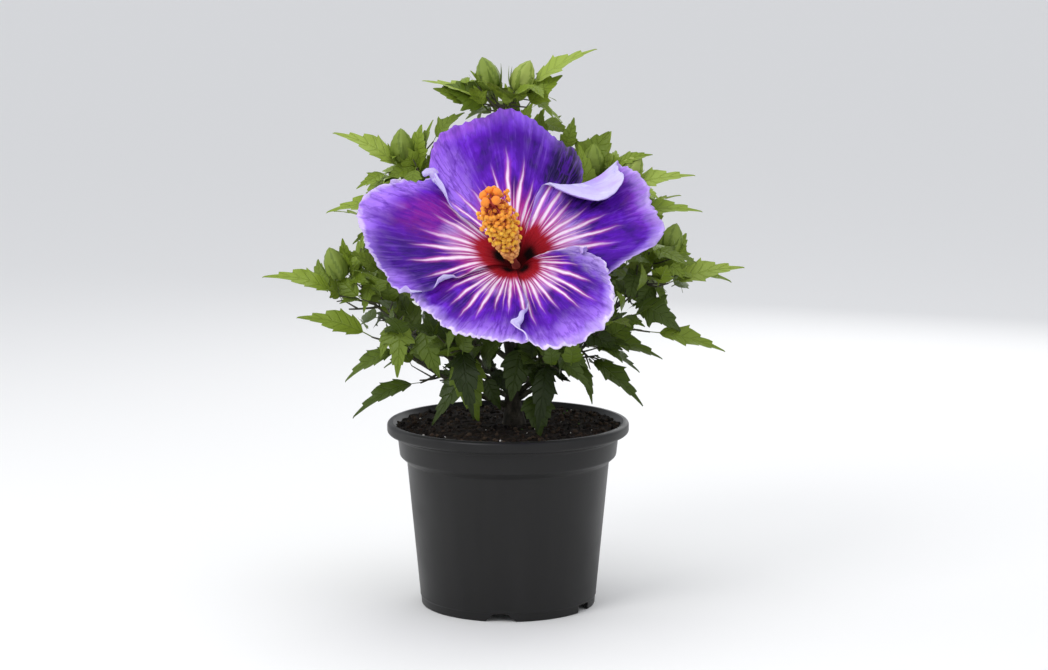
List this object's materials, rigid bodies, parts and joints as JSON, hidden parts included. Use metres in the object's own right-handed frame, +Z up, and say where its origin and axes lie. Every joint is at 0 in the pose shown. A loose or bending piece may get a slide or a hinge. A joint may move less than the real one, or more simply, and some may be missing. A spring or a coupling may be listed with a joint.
{
  "type": "hibiscus shrub in a nursery pot",
  "caption": "Young hibiscus shrub with one very large violet bloom, buds and toothed leaves, growing in a plain dark round nursery pot.",
  "frame": {"origin": "centre of the pot's flat underside, on the surface that the pot stands on", "axes": "+Z up the plant; the bloom faces -Y; +X is to the right of someone who faces the bloom"},
  "size_m": [0.3351, 0.2929, 0.3891],
  "materials": {
    "pot": "satin",
    "soil": "matte",
    "bark": "matte",
    "leaf": "satin",
    "petal": "matte",
    "anther": "matte",
    "calyx": "matte"
  },
  "bodies": {
    "root": {"pot": "pot", "soil": "soil", "trunk": "bark", "bough_left": "bark", "foliage_left": "leaf", "bough_right": "bark", "foliage_right": "leaf", "bough_lower_left": "bark", "foliage_lower_left": "leaf", "bough_lower_right": "bark", "foliage_lower_right": "leaf", "bough_front_left": "bark", "foliage_front_left": "leaf", "bough_front_right": "bark", "foliage_front_right": "leaf", "bough_upper_left": "bark", "foliage_upper_left": "leaf", "bough_upper_right": "bark", "foliage_upper_right": "leaf", "foliage_top": "leaf", "bough_back_left": "bark", "foliage_back_left": "leaf", "bough_back_right": "bark", "foliage_back_right": "leaf", "bough_back": "bark", "foliage_back": "leaf", "bough_back_low_left": "bark", "foliage_back_low_left": "leaf", "bough_back_low_right": "bark", "foliage_back_low_right": "leaf", "bough_back_top": "bark", "foliage_back_top": "leaf", "petal_top": "petal", "petal_left": "petal", "petal_lower_left": "petal", "petal_lower_right": "petal", "petal_right": "petal", "column": "anther", "calyx": "calyx", "bloom_stalk": "calyx"}
  },
  "joints": []
}
